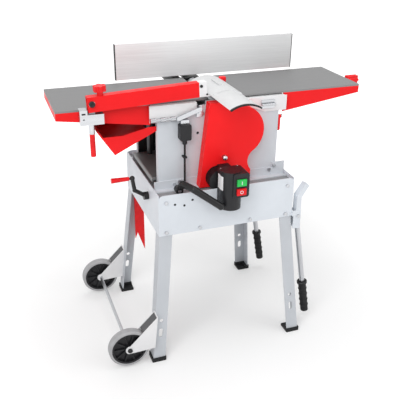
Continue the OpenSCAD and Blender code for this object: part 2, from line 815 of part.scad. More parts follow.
cover_low = deck_z + rail_t + over;
cover_top = table_h - hump_drop;
cover_left_low = 83;
cover_left_top = 50;
cover_top_right = 42;
lobe_x = 58;
lobe_drop = 80.5;
lobe_z = cutter_z - lobe_drop;
lobe_end = -54;
neck_r = 46;
neck_flare = 12;
neck_pitch = cover_lobe_r + neck_r - gap;
neck_mid_x = lobe_x + neck_pitch * cos(lobe_end);
neck_x = neck_mid_x - neck_r;
neck_z = lobe_z + neck_pitch * sin(lobe_end);

// The cover's outline, drawn in by a wall
module cover_outline(in) difference() {
    union() {
        polygon([
            [-cover_left_low + in, cover_low + in],
            [-cover_left_top + in, cover_top - in],
            [cover_top_right - in, cover_top - in],
            [lobe_x, lobe_z + cover_lobe_r - in],
            [lobe_x, lobe_z],
            [lobe_x + (cover_lobe_r - in) * cos(lobe_end), lobe_z + (cover_lobe_r - in) * sin(lobe_end)],
            [neck_x + neck_flare - in, neck_z],
            [neck_x + neck_flare - in, cover_low + in]
        ]);
        translate([lobe_x, lobe_z]) circle(cover_lobe_r - in);
    }
    translate([neck_mid_x, neck_z]) circle(neck_r + in);
}

module belt_cover() color("red") placed() difference() {
    plate_xz(cover_y, cover_d) cover_outline(0);
    plate_xz(cover_y + cover_wall, cover_d) cover_outline(cover_wall);
    bar_along_y([cap_x, cover_y - over, cap_z], cover_d, cap_stud_r);
    bar_along_y([motor_x, cover_y - over, motor_z], cover_d, motor_shaft_r + gap);
}

motor_x = -22;
motor_z = deck_z + motor_r + gap;
motor_shaft_r = 8;
motor_pulley_r = 28;
motor_flange_r = 31;
belt_t = 4;
belt_play = 0.3;

module motor_pulley() color("silver") placed() translate([motor_x, pulley_y, motor_z]) {
    pulley(motor_pulley_r, motor_flange_r);
    bar_along_y([0, cover_y - motor_d / 2 - pulley_y, 0], pulley_y - cover_y + motor_d / 2, motor_shaft_r);
}

module belt_loop(play) hull() {
    translate([motor_x, motor_z]) circle(motor_pulley_r + play, $fn = 32);
    translate([0, cutter_z]) circle(pulley_r + play, $fn = 32);
}

module drive_belt() color("black") placed()
    plate_xz(pulley_y + flange_t + belt_play, pulley_w - 2 * flange_t - 2 * belt_play) difference() {
        belt_loop(belt_t);
        belt_loop(belt_play);
    }

motor_rib_count = 9;
motor_rib_t = 2;
motor_rib_d = 3;

// The end shield of the motor, with cooling ribs round it
module motor_housing() color("black") placed() translate([motor_x, cover_y - motor_d, motor_z])
    difference() {
    union() {
        bar_along_y([0, 0, 0], motor_d, motor_r - motor_rib_d);
        for (i = [0 : motor_rib_count - 1])
            bar_along_y([0, i * (motor_d - motor_rib_t) / (motor_rib_count - 1), 0], motor_rib_t, motor_r);
    }
    bar_along_y([0, motor_d / 2 - gap, 0], motor_d, motor_shaft_r + fit);
}

// Switch

switch_x0 = -37;
switch_drop = 179;
switch_top = cutter_z - switch_drop;
switch_low = switch_top - switch_h;
switch_round_r = 16;
switch_neck_lift = 5;
switch_neck_low = base_top + switch_neck_lift;
switch_hood_t = 4;
front_r = switch_w / 2 + gap;
bezel_w = 57;
bezel_h = 86;
bezel_t = 5;
bezel_lift = 48;
bezel_shift = 29;
front_mid_y = switch_back - switch_d + bezel_t + front_r;
button_w = 33;
button_h = 23;
button_pitch = 33;
button_drop = 5;
button_out = 6;
button_in = 12;
button_travel = 4;
button_mid_z = switch_low + bezel_lift + bezel_h / 2 - button_drop;
button_mid_x = switch_x0 + bezel_shift + bezel_w / 2;

module button_places() for (s = [-1, 1]) translate([button_mid_x, 0, button_mid_z + s * button_pitch / 2])
    children();

module button_block(out, play, depth) translate([-button_w / 2 - play, switch_back - switch_d - out,
    -button_h / 2 - play])
    cube([button_w + 2 * play, out + depth, button_h + 2 * play]);

module switch_housing() color("black") placed() difference() {
    union() {
        intersection() {
            bar_along_z([switch_x0 + switch_w / 2, front_mid_y, switch_low], switch_h, front_r);
            translate([switch_x0 - switch_w / 2, switch_back - 2 * switch_d, switch_low - over])
                cube([2 * switch_w, 2 * switch_d, switch_h + 2 * over]);
        }
        translate([switch_x0, front_mid_y, switch_low]) cube([switch_w, switch_back - front_mid_y, switch_h]);
        plate_xz(switch_back - switch_d, switch_d) translate([switch_x0 + bezel_shift,
            switch_low + bezel_lift])
            round_rect([bezel_w, bezel_h], switch_round_r / 2);
        translate([switch_x0, switch_back - over, switch_neck_low])
            cube([switch_w, cover_y - motor_d - switch_back + over,
                switch_top - switch_round_r - switch_neck_low]);
        translate([switch_x0 + switch_round_r, switch_back - over, motor_z + motor_r + gap])
            cube([switch_w - 2 * switch_round_r, cover_y - switch_back + over, switch_hood_t]);
    }
    button_places() button_block(over, gap, button_in + button_travel + gap);
}

module start_button() color("green") placed() translate([button_mid_x, 0, button_mid_z + button_pitch / 2])
    button_block(button_out, 0, button_in);
module stop_button() color("red") placed() translate([button_mid_x, 0, button_mid_z - button_pitch / 2])
    button_block(button_out, 0, button_in);

// Interlock switch, its cable and the feed lever

lock_x = -129;
lock_w = 39;
lock_h = 54;
lock_d = 28;
lock_drop = 95;
lock_low = cutter_z - lock_drop;
lock_round_r = 5;
relief_r = 8;
relief_len = 15;
cable_r = 3.5;
cable_y = -plate_y - plate_t - lock_d / 2;
clip_lift = 82;
clip_w = 13;
clip_h = 5;

module interlock_switch() color("black") placed() difference() {
    union() {
        plate_xz(-plate_y - plate_t - lock_d, lock_d) translate([lock_x - lock_w / 2, lock_low])
            round_rect([lock_w, lock_h], lock_round_r);
        bar_along_z([lock_x, cable_y, lock_low - relief_len], relief_len + over, relief_r);
        translate([lock_x - clip_w / 2, cable_y - relief_r, deck_z + rail_h + clip_lift])
            cube([clip_w, relief_r + lock_d / 2, clip_h]);
    }
    bar_along_z([lock_x, cable_y, deck_z], lock_low - deck_z, cable_r);
}

module interlock_cable() color("black") placed()
    bar_along_z([lock_x, cable_y, deck_z + rail_t], lock_low - deck_z - rail_t, cable_r);

// A round bar between two points, with a round end at the second
module bent_bar(from, to, r) {
    d = to - from;
    translate(from) rotate([0, acos(d[2] / norm(d)), atan2(d[1], d[0])]) cylinder(h = norm(d), r = r);
    translate(to) sphere(r + gap);
}

lever_r = 12;
lever_hub_r = 13;
lever_hub_len = 26;
lever_pin_r = 6;
lever_off = 80;
lever_x = base_x0 + lever_off;
lever_clear = 8;
lever_inset = 31;
lever_y = base_y0 + lever_inset;
lever_lift = 16;
lever_z = deck_z + lever_lift;
lever_rise = 28;
lever_over = 62;
lever_out = 57;
lever_reach = switch_x0 - lever_clear - lever_x;
lever_drop = 39;
lever_knee_shares = [0.07, 0.33, 1];
lever_elbow_shares = [0.28, 1, 0.8];

module lever_place() placed() translate([lever_x, lever_y, lever_z]) children();

// The feed lever rises behind the front panel, bends over its edge and hangs in front of it
module feed_lever() color("black") lever_place() difference() {
    union() {
        bar_along_y([0, -lever_hub_len / 2, 0], lever_hub_len, lever_hub_r);
        span = [lever_reach, -lever_over, lever_rise];
        knee = [for (i = [0 : 2]) span[i] * lever_knee_shares[i]];
        elbow = [for (i = [0 : 2]) span[i] * lever_elbow_shares[i]];
        bent_bar([0, 0, 0], knee, lever_r);
        bent_bar(knee, elbow, lever_r);
        bent_bar(elbow, [lever_reach, -lever_over - lever_out / 2, -lever_drop], lever_r);
    }
    bar_along_y([0, -lever_hub_len, 0], 2 * lever_hub_len, lever_pin_r + fit);
}

// Planer tables

table_x1 = table_len / 2;
gap_x = cutter_gap / 2;
lip_slope = 6;
under_z = table_h - top_t;
apron_rib_t = 5;
apron_rib_shares = [0.35, 0.75];

// The infeed table; the outfeed table is its mirror
module table_plate() plate_xz(-half_w, table_w) polygon([[gap_x, table_h], [table_x1, table_h],
    [table_x1, under_z],
    [gap_x + lip_slope, under_z]]);

module apron() {
    front_and_rear() plate_xz(-half_w, apron_t) polygon([[apron_x0, under_z], [table_x1, under_z],
        [table_x1, table_h - apron_end_h], [apron_x0, table_h - apron_root_h]]);
    translate([table_x1 - apron_t, -half_w, table_h - apron_end_h])
        cube([apron_t, table_w, apron_end_h - top_t]);
    for (s = apron_rib_shares) translate([apron_x0 + s * (table_x1 - apron_x0), -half_w,
        table_h - apron_end_h])
        cube([apron_rib_t, table_w, apron_end_h - top_t]);
}

module outfeed_table() color("gray") placed() mirror([1, 0, 0]) table_plate();
module outfeed_apron() color("red") placed() mirror([1, 0, 0]) apron();

// The infeed table slides up and down on studs that run in its brackets
guide_r = 6;
guide_len = 19;
guide_y = half_w - 2 * guide_r;
guide_shares = [0.15, 0.62];

module guide_places() for (s = guide_shares, y = [-guide_y, guide_y])
    translate([bracket_x0 + s * (bracket_x1 - bracket_x0), y, under_z - guide_len]) children();

module infeed_table() color("gray") placed() {
    table_plate();
    guide_places() cylinder(h = guide_len + top_t / 2, r = guide_r);
}
module infeed_apron() color("red") placed() difference() {
    apron();
    bar_along_x([table_x1 - apron_rib_t, knob_y, knob_z], 2 * apron_rib_t, knob_stud_r + fit);
}

// Plates on the body that carry the tables, with a top flange under each table
bracket_x0 = 84;
bracket_over = 26;
bracket_x1 = body_len / 2 + bracket_over;
bracket_h = 62;
bracket_flange = 40;
bracket_t = 4;
infeed_drop = 4;

module bracket_outline(top) polygon([[bracket_x0, top], [bracket_x1, top], [bracket_x1,
    table_h - bracket_h],
    [(bracket_x0 + bracket_x1) / 2, table_h - bracket_h], [bracket_x0, table_h - bracket_h / 2]]);

module table_bracket(top) front_and_rear() {
    plate_xz(-plate_y - plate_t - bracket_t, bracket_t) bracket_outline(top);
    translate([bracket_x0, -plate_y - plate_t - bracket_t, top - bracket_t])
        cube([apron_x0 - gap - bracket_x0, bracket_flange, bracket_t]);
}

module table_brackets() color("whitesmoke") placed() {
    difference() {
        table_bracket(under_z - infeed_drop - gap);
        guide_places() cylinder(h = guide_len, r = guide_r + fit);
    }
    mirror([1, 0, 0]) table_bracket(under_z);
}

latch_y = -plate_y - plate_t - bracket_t;
latch_w = 50;
latch_h = 30;
latch_t = 5;
latch_bar_r = 4;
latch_out = 12;
latch_mid_share = 0.55;
latch_drop = 50;
latch_z = table_h - latch_drop;
rod_r = 5;
rod_out = 8;
rod_z = table_h - bracket_h + 2 * rod_r;
knuckle_r = 8;
knuckle_len = 16;
knuckle_shares = [0, 0.36, 0.72];
latch_arm_x = 150;
rod_len = bracket_x1 - latch_arm_x;
latch_arm_len = 78;
latch_arm_h = 14;
latch_arm_t = 6;
latch_arm_tilt = 19;
latch_pin_r = 4;
hook_w = 20;
hook_h = 40;
hook_low = table_h - bracket_h + rod_r;
hook_x = 84;
tappet_w = 28;
tappet_h = 14;
tappet_d = 18;

// The infeed side's latch: a base plate, two posts and the bail bar across them
module bail_latch(x) translate([x - latch_w / 2, latch_y, latch_z]) {
    translate([0, -latch_t, 0]) cube([latch_w, latch_t, latch_h]);
    for (s = [0, 1]) translate([s * (latch_w - latch_t), -latch_out, latch_h / 2 - latch_bar_r])
        cube([latch_t, latch_out, 2 * latch_bar_r]);
    bar_along_x([0, -latch_out, latch_h / 2], latch_w, latch_bar_r);
}

// The outfeed side's latch: a rod in knuckles, the arm's pin, a hook plate and its peg, and a tappet
module rod_latch() {
    bar_along_x([-bracket_x1, latch_y - rod_out, rod_z], rod_len - knuckle_len, rod_r);
    for (s = knuckle_shares) translate([-bracket_x1 + s * rod_len, 0, 0]) {
        bar_along_x([0, latch_y - rod_out, rod_z], knuckle_len, knuckle_r);
        translate([0, latch_y - rod_out, rod_z - rod_r]) cube([knuckle_len, rod_out, 2 * rod_r]);
    }
    bar_along_y([-latch_arm_x, latch_y - rod_out - latch_arm_t, rod_z], rod_out + latch_arm_t, latch_pin_r);
    translate([-hook_x, latch_y, hook_low]) cube([hook_w, bracket_t, hook_h]);
    peg_x = hook_w / 4 - hook_x;
    peg_z = rod_z + (peg_x + latch_arm_x) * tan(latch_arm_tilt)
        - (latch_arm_h / 2 + latch_pin_r + gap) / cos(latch_arm_tilt);
    bar_along_y([peg_x, latch_y - rod_out - latch_arm_t, peg_z], rod_out + latch_arm_t + bracket_t,
        latch_pin_r);
    translate([lock_x - tappet_w / 2, -plate_y - plate_t - tappet_d, lock_low + lock_h + gap])
        cube([tappet_w, tappet_d, tappet_h]);
}

module table_latches() color("silver") placed() {
    bail_latch(bracket_x0 + latch_mid_share * (bracket_x1 - bracket_x0));
    rod_latch();
}

// The arm that swings up off the hook to free the outfeed table
module latch_arm() color("silver") placed() translate([-latch_arm_x, latch_y - rod_out - latch_arm_t,
    rod_z])
    rotate([0, -latch_arm_tilt, 0]) difference() {
        plate_xz(0, latch_arm_t) {
            circle(latch_arm_h / 2);
            translate([0, -latch_arm_h / 2]) square([latch_arm_len, latch_arm_h]);
            translate([latch_arm_len, 0]) circle(latch_arm_h / 2);
        }
        bar_along_y([0, -over, 0], latch_arm_t + 2 * over, latch_pin_r + fit);
    }

knob_y = -22;
knob_z = table_h - apron_end_h / 2;
knob_stud_r = 5;
knob_r = 17;
knob_gap = 18;
flute_count = 6;
flute_r = 6;

// A lobed hand knob, drawn upwards
module star_knob(r, h) difference() {
    cylinder(h = h, r = r);
    for (i = [1 : flute_count]) rotate(i * 360 / flute_count) translate([r + flute_r / 3, 0, -over])
        cylinder(h = h + 2 * over, r = flute_r);
}

module depth_knob() color("red") placed() translate([table_x1, knob_y, knob_z]) {
    bar_along_x([-apron_rib_t, 0, 0], knob_gap + apron_rib_t, knob_stud_r);
    translate([knob_gap, 0, 0]) rotate([0, 90, 0]) star_knob(knob_r, knob_reach - knob_gap);
}

lock_lever_r = 6;
lock_lever_len = 46;
lock_lever_drop = 26;
lock_lever_z = table_h - bracket_h - lock_lever_drop;
lock_pin_r = 3;
lock_pin_len = 2 * lock_lever_r + 2 * gap;

// The lock lever hangs on a pin in the right end of the front side plate
module lock_lever_place() placed() translate([body_len / 2, lock_lever_r - plate_y - plate_t / 2,
    lock_lever_z])
    children();

module table_lock_lever() color("red") lock_lever_place() difference() {
    union() {
        bar_along_x([gap, 0, 0], 2 * lock_lever_r, lock_lever_r + gap);
        translate([lock_lever_r + gap, 0, -lock_lever_len]) cylinder(h = lock_lever_len, r = lock_lever_r);
        translate([lock_lever_r + gap, 0, -lock_lever_len]) sphere(lock_lever_r);
    }
    bar_along_x([-lock_lever_r, 0, 0], lock_lever_len, lock_pin_r + fit);
}

// Fence and its bracket

fence_lift = 5;
fence_y = half_w + fence_gap;
fence_mid = 63;
fence_x0 = fence_mid - fence_len / 2;
fence_skin = 3;
fence_cells = 4;
shelf_x0 = -105;
shelf_len = 132;
shelf_d = 100;
shelf_t = 4;
shelf_slot_w = 12;
shelf_slot_len = 84;
foot_len = 64;
foot_d = 56;
foot_t = 12;
foot_rise = 60;
foot_rib_t = 10;

// A hollow extrusion with a foot behind it that slides on the bracket
module fence_plate() color("lightgray") placed() {
    plate_fence_z = table_h + fence_lift;
    foot_x = shelf_x0 + (shelf_len - foot_len) / 2;
    cell_h = (fence_h - fence_skin) / fence_cells;
    difference() {
        translate([fence_x0, fence_y, plate_fence_z]) cube([fence_len, fence_t, fence_h]);
        for (i = [0 : fence_cells - 1])
            translate([fence_x0 - over, fence_y + fence_skin, plate_fence_z + fence_skin + i * cell_h])
                cube([fence_len + 2 * over, fence_t - 2 * fence_skin, cell_h - fence_skin]);
    }
    translate([foot_x, fence_y + fence_t, table_h + gap]) cube([foot_len, foot_d, foot_t]);
    plate_yz(foot_x + (foot_len - foot_rib_t) / 2, foot_rib_t) polygon([
        [fence_y + fence_t, table_h + gap], [fence_y + fence_t + foot_d, table_h + gap],
        [fence_y + fence_t + foot_d, table_h + gap + foot_t], [fence_y + fence_t,
            table_h + gap + foot_rise]]);
}

// A shelf behind the outfeed table, held on the rear side plate
module fence_bracket() color("black") placed() {
    difference() {
        translate([shelf_x0, half_w, table_h - shelf_t]) cube([shelf_len, shelf_d, shelf_t]);
        translate([shelf_x0 + (shelf_len - shelf_slot_w) / 2, half_w + (shelf_d - shelf_slot_len) / 2, 0])
            translate([0, 0, table_h - shelf_t - over])
                cube([shelf_slot_w, shelf_slot_len, shelf_t + 2 * over]);
    }
    shelf_back = plate_y + plate_t;
    leg_x0 = gap - bracket_x0;
    translate([leg_x0, shelf_back, table_h - bracket_h])
        cube([shelf_x0 + shelf_len - leg_x0, bracket_t, bracket_h - shelf_t]);
    for (x = [leg_x0, shelf_x0 + shelf_len - foot_rib_t]) plate_yz(x, foot_rib_t) polygon([
        [shelf_back, table_h - shelf_t], [half_w + shelf_d, table_h - shelf_t],
            [shelf_back + bracket_t, table_h - bracket_h],
        [shelf_back, table_h - bracket_h]]);
}

// Guard arm, its clamp and the bridge guard

clamp_x0 = clamp_inset - table_x1;
clamp_len = 75;
clamp_d = 34;
jaw_len = 24;
jaw_rise = 15;
jaw_slot_h = 5;
jaw_slot_w = 12;
jaw_slot_drop = 9;
jaw_hole_drop = 29;
clamp_low_drop = 42;
clamp_low = table_h - clamp_low_drop;
clamp_top_drop = 9;
clamp_top = table_h - clamp_top_drop;
lug_t = 8;
lug_r = 10;
arm_pin_r = 6;
arm_wall = 3;
pivot_in = 40;
arm_pivot_x = clamp_x0 + pivot_in;
arm_pivot_rise = 24;
arm_pivot_z = table_h + arm_pivot_rise;
arm_off = 2;
arm_y = -half_w - arm_t - arm_off;
arm_tail = 13;
arm_rise = 17;
arm_end_x = -81;
arm_reach = arm_end_x - arm_pivot_x;
arm_tilt = atan(arm_rise / arm_reach);
arm_len = arm_reach / cos(arm_tilt) + arm_tail;
arm_low = 27;
post_r = 5.5;
sleeve_r = 9;
post_len = 34;
lever_grip_r = 8.5;
lever_grip_len = 75;
lever_in = 37;
clamp_lever_x = clamp_x0 + lever_in;

module arm_place() placed() translate([arm_pivot_x, arm_y, arm_pivot_z]) rotate([0, -arm_tilt, 0])
    children();

// A block clamped on the outfeed apron, with the lug and pin of the arm and the post of its lever
module arm_clamp() color("silver") placed() {
    clamp_y = -half_w - clamp_d;
    jaw_top = clamp_top + jaw_rise;
    jaw_mid = clamp_x0 + jaw_len / 2;
    difference() {
        union() {
            translate([clamp_x0, clamp_y, clamp_low]) cube([clamp_len, clamp_d, clamp_top - clamp_low]);
            translate([clamp_x0, clamp_y, clamp_low]) cube([jaw_len, clamp_d, jaw_top - clamp_low]);
            translate([arm_pivot_x - lug_r, arm_y + (arm_t - lug_t) / 2, clamp_top - over])
                cube([2 * lug_r, lug_t, arm_pivot_z - clamp_top + over]);
            bar_along_y([arm_pivot_x, arm_y + (arm_t - lug_t) / 2, arm_pivot_z], lug_t, lug_r);
        }
        bar_along_y([jaw_mid, clamp_y - over, jaw_top - jaw_hole_drop], clamp_d, jaw_slot_h / 2);
        translate([jaw_mid - jaw_slot_w / 2, clamp_y - over, jaw_top - jaw_slot_drop - jaw_slot_h])
            cube([jaw_slot_w, clamp_d, jaw_slot_h]);
    }
    bar_along_y([arm_pivot_x, arm_y - gap, arm_pivot_z], arm_t + gap, arm_pin_r);
    bar_along_y([arm_pivot_x, arm_y - gap - bolt_head_h, arm_pivot_z], bolt_head_h, lug_r);
    bar_along_z([clamp_lever_x, clamp_y + clamp_d / 2, clamp_low - post_len - lever_grip_len / 2],
        post_len + lever_grip_len / 2, post_r);
    bar_along_z([clamp_lever_x, clamp_y + clamp_d / 2, clamp_low - post_len + gap], post_len, sleeve_r);
}

module clamp_lever() color("red") placed() translate([clamp_lever_x, -half_w - clamp_d / 2,
    clamp_low - post_len])
    difference() {
        translate([0, 0, -lever_grip_len]) cylinder(h = lever_grip_len, r = lever_grip_r);
        translate([0, 0, -lever_grip_len / 2 - gap]) cylinder(h = lever_grip_len, r = post_r + fit);
    }

// A channel, open below, that swings on the clamp's pin
module guard_arm() color("red") arm_place() difference() {
    translate([-arm_tail, 0, -arm_low]) cube([arm_len, arm_t, arm_h]);
    translate([-arm_tail - over, arm_wall, -arm_low - over])
        cube([arm_len + 2 * over, arm_t - 2 * arm_wall, arm_h - arm_wall + over]);
    bar_along_y([0, -over, 0], arm_t + 2 * over, arm_pin_r + fit);
    translate([star_x, arm_t / 2, 0]) cylinder(h = arm_h, r = star_stud_r + fit);
}

star_x = 31;
star_r = 20;
star_h = 18;
star_stud_r = 5;
star_stud_len = 12;

module arm_knob() color("red") arm_place() translate([star_x, arm_t / 2, arm_h - arm_low]) {
    translate([0, 0, gap]) cylinder(h = star_stud_len, r = star_stud_r * 2);
    translate([0, 0, star_stud_len]) star_knob(star_r, star_h);
    translate([0, 0, -arm_wall - star_stud_len]) cylinder(h = star_stud_len * 2, r = star_stud_r);
}

// The bridge's arch, drawn about the middle of its chord
bridge_x = 4;
bridge_lift = 21;
bridge_z = table_h + bridge_lift;
arch_r = (pow(bridge_w / 2, 2) + pow(bridge_rise, 2)) / (2 * bridge_rise);
arch_lap_share = 0.56;
end_t = 26;
saddle_w = 60;
slot_rib_w = 12;
slot_rib_len = 70;
slot_rib_h = 4;

module arch(r, low) intersection() {
    translate([0, bridge_rise - arch_r]) circle(r);
    translate([-bridge_w / 2 - over, low]) square([bridge_w + 2 * over, bridge_w]);
}

// The bridge is a thin arch in front and a double one behind, with a raised rib on its crown
module guard_bridge() color("lightgray") placed() translate([bridge_x, 0, bridge_z]) {
    lap_len = bridge_len * arch_lap_share;
    lap_y = bridge_y0 + bridge_len - lap_len;
    difference() {
        union() {
            plate_xz(bridge_y0, lap_y - bridge_y0 + over) arch(arch_r, 0);
            plate_xz(lap_y, lap_len) arch(arch_r + bridge_t, 0);
            translate([-slot_rib_w / 2, bridge_y0 + bridge_len - 2 * slot_rib_len, bridge_rise])
                cube([slot_rib_w, slot_rib_len, bridge_t + slot_rib_h]);
        }
        plate_xz(bridge_y0 - over, bridge_len + 2 * over) arch(arch_r - bridge_t, -over);
    }
}

// A square in the arm's own tilted outline
module arm_square(x, size) translate([arm_pivot_x, arm_pivot_z]) rotate(arm_tilt) translate([x, -arm_low])
    square(size);

// The end bracket: a cheek on the arm's end, a tongue in its channel, and a saddle under the arch
module guard_end() color("whitesmoke") placed() {
    end_x = arm_len - arm_tail;
    shelf_start = arm_pivot_x + end_x + end_t / 2;
    shelf_low = arm_pivot_z - arm_low + end_x * sin(arm_tilt) + gap;
    plate_xz(arm_y, arm_t) {
        arm_square(end_x, [end_t, arm_h]);
        translate([shelf_start, shelf_low])
            square([bridge_x + saddle_w / 2 - shelf_start, bridge_z - shelf_low - gap]);
        translate([bridge_x, bridge_z]) intersection() {
            arch(arch_r - bridge_t - gap, -over);
            translate([-saddle_w / 2, -over]) square([saddle_w, bridge_rise]);
        }
    }
    plate_xz(arm_y + arm_wall, arm_t - 2 * arm_wall) arm_square(end_x - end_t, [end_t + over,
        arm_h - arm_wall]);
}

// Chip hood and push stick

hood_t = 2.5;
hood_drop = 7;
hood_top = table_h - apron_root_h - hood_drop;
hood_clear = 5;
hood_open = bed_over + hood_clear;
hood_x1 = -body_len / 2;
hood_tip_share = 0.28;
hood_in_share = 0.82;
lip_drop = 20;
lip_shares = [0.571, 0.107];

module hood_outline(in, top) polygon([
    [hood_x1 - hood_len + 2 * in, hood_top + top],
    [hood_x1 - hood_len * (1 - hood_tip_share) + in / 2, hood_top - hood_h + 2 * in],
    [hood_x1 + top, hood_top - hood_h * (1 - hood_in_share) + in],
    [hood_x1 + top, hood_top + top]
]);

// A folded trough under the outfeed table, open above and towards the cutter
module chip_hood() color("red") placed() difference() {
    plate_xz(-hood_w / 2, hood_w) hood_outline(0, 0);
    plate_xz(hood_t - hood_w / 2, hood_w - 2 * hood_t) hood_outline(hood_t, over);
    translate([hood_x1 - hood_open, hood_t - hood_w / 2, hood_top - hood_h])
        cube([hood_len, hood_w - 2 * hood_t, 2 * hood_h]);
    plate_xz(-hood_w / 2 - over, hood_t + 2 * over) polygon([
        [hood_x1 - hood_len - over, hood_top + over], [hood_x1 - hood_len - over, hood_top - lip_drop],
        [hood_x1 - hood_len * lip_shares[0], hood_top - lip_drop],
        [hood_x1 - hood_len * lip_shares[1], hood_top + over]]);
}

stick_t = 6;
stick_w = 38;
stick_in = 38;
stick_x = base_x0 + stick_in;
stick_rise = 30;
stick_top = base_bottom + stick_rise;
stick_mouth = 26;
stick_step = 58;
stick_hole_r = 6;

module push_stick() color("red") placed() translate([stick_x, base_y1 - lip_w - stick_t, stick_top])
    difference() {
    plate_xz(0, stick_t) polygon([[-stick_w / 2, 0], [stick_w / 2, 0], [stick_w / 2, -stick_len],
        [-stick_w / 4, -stick_len + stick_step + stick_mouth], [-stick_w / 2, -stick_len + stick_step]]);
    bar_along_y([0, -over, -stick_w / 2], stick_t + 2 * over, stick_hole_r);
}

base_front_panel();
base_rear_panel();
base_left_panel();
base_right_panel();
base_deck();
legs();
rubber_feet();
bolts();
wheel_brackets();
wheel_axle();
rim_front();
rim_rear();
tyre_front();
tyre_rear();
handle_front();
handle_rear();
grip_front();
grip_rear();
foot_rails();
side_plate_front();
side_plate_rear();
frame_bars();
thickness_table();
lead_screw();
crank_arm();
crank_grip();
cutter_block();
planer_knives();
infeed_roller();
outfeed_roller();
kickback_fingers();
belt_cover();
motor_pulley();
drive_belt();
motor_housing();
switch_housing();
start_button();
stop_button();
interlock_switch();
interlock_cable();
feed_lever();
outfeed_table();
outfeed_apron();
infeed_table();
infeed_apron();
table_brackets();
table_latches();
latch_arm();
depth_knob();
table_lock_lever();
fence_plate();
fence_bracket();
arm_clamp();
clamp_lever();
guard_arm();
guard_end();
arm_knob();
guard_bridge();
chip_hood();
push_stick();
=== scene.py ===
"""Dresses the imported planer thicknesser: materials, small details, camera, light and floor."""

import json
import math

import bmesh
import bpy
from mathutils import Matrix, Vector


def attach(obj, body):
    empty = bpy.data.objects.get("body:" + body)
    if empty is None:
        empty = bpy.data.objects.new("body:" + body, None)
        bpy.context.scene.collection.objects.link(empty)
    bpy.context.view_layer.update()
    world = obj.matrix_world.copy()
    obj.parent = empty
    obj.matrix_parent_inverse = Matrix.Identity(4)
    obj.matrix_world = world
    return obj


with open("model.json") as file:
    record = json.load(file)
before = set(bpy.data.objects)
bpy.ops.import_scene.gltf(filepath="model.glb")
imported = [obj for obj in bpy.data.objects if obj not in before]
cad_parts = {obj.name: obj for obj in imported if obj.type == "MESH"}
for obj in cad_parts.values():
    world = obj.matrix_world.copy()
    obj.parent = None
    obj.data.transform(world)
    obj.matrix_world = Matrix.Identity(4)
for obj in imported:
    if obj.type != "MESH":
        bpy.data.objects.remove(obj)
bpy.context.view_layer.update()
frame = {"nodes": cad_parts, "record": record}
NODES = frame["nodes"]

# Camera, solved from the photograph's vanishing lines: place in metres, turns in degrees, lens in millimetres
EYE = (-0.78028, -1.96526, 1.51995)
YAW, PITCH, ROLL = 20.13, 25.74, 0.68
LENS = 56.05
SENSOR = 36.0
CLIP_NEAR, CLIP_FAR = 0.05, 50.0

# Lamps: name, place, size and power; all aim at one place
LAMPS = (
    ("key", (-2.2, -2.6, 3.4), 2.6, 95),
    ("fill", (2.8, -2.0, 2.2), 2.4, 26),
    ("top", (0.2, 0.4, 4.0), 3.0, 45),
)
LAMP_AIM = (0, 0, 0.6)
WORLD_STRENGTH = 0.55
WHITE = (1.0, 1.0, 1.0)

# Floor, and its lift towards white: between two distances from the object, and the strength at each
FLOOR_REACH = 12.0
FLOOR_COLOUR = (0.74, 0.74, 0.74)
FLOOR_ROUGH = 0.9
FLOOR_LIFT = (0.5, 2.2, 0.22, 0.75)

# Noise: its detail by use, the part of it that a ramp takes, and its stretch
MOTTLE_DETAIL, SCUFF_DETAIL, BUMP_DETAIL = 3.0, 4.0, 2.0
RAMP_START, RAMP_END = 0.3, 0.7
LEAST_ROUGH = 0.02
EVEN, ALONG_LINES = 1.0, 0.02
RANGE_SOCKETS = ("From Min", "From Max", "To Min", "To Max")

# Finishes: scale and amount of each effect, heights in metres
PAINT_CLOUDS, PAINT_DULLING, PAINT_PEEL = (9, 0.04), (30, 0.08), (900, 0.00006)
PLASTIC_CLOUDS, PLASTIC_DULLING, GRAIN_SCALE = (40, 0.10), (60, 0.08), 1600
FINE_GRAIN, GRAIN, COARSE_GRAIN = 0.00002, 0.00012, 0.0002
METAL_LINES, METAL_DULLING = 420, 0.07
POLISH_LINES = 60
POLISH_DEPTH, LINE_DEPTH = 0.00001, 0.00003

# Fence: a painted sheen that makes its colour brighter towards its left end: where the sheen starts and ends
# along x, and its strength there
FENCE_PAINTED_SHEEN = (-0.31, 0.38, 1.35, 0.92)

# Painted shade: the throat between the two side plates, up to their inner faces, is coloured near black, as
# it lies in shade
THROAT_MIDDLE, THROAT_HALF = (-0.031, 0.041), (0.2155, 0.1425)
THROAT_PAINTED_SHADE = (0.012, 0.012, 0.013)

# The machine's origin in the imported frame, in millimetres, as are all sizes from here on
ORIGIN = (31, -41)
MM = 0.001
FRONT, REAR, UP = (0, -1, 0), (0, 1, 0), (0, 0, 1)

# Soft edges of the solids and of the small pieces
EDGE_ANGLE = 38
EDGE_SEGMENTS = 2
SOFT_EDGE, WEB_EDGE, MARK_EDGE = 0.8, 0.5, 0.15

# Turned heads as shares of their radius: (radius, height)
SCREW_STEPS = 24
SCREW_HEAD = ((1, 0), (1, 0.35), (0.86, 0.5), (0.5, 0.5), (0.45, 0.2))
NUT_HEAD = ((1, 0), (1, 0.6), (0.8, 0.8), (0.3, 0.9))

# Bridge guard: its arch, the strip round its front end and the tab beside it
BRIDGE_X, BRIDGE_HALF = 4, 52
ARCH_R, ARCH_Z = 97.633, 868.367
ARCH_STEPS = 28
STRIP_OUT, STRIP_IN = 1.2, 3.8
STRIP_Y = (-353, -345)
TAB_BOX = ((52, -14, 944), (74, 6, 962))
TAB_EDGE = 3

# Guard arm: the cap of its pivot and the screws of its end
PIVOT_CAP, PIVOT_CAP_R = (-430, -169.4, 954), 9.5
ARM_SCREWS = (("end_screw_high", (-74, -164.8, 980), 5), ("end_screw_low", (-54, -164.8, 952), 3.2))

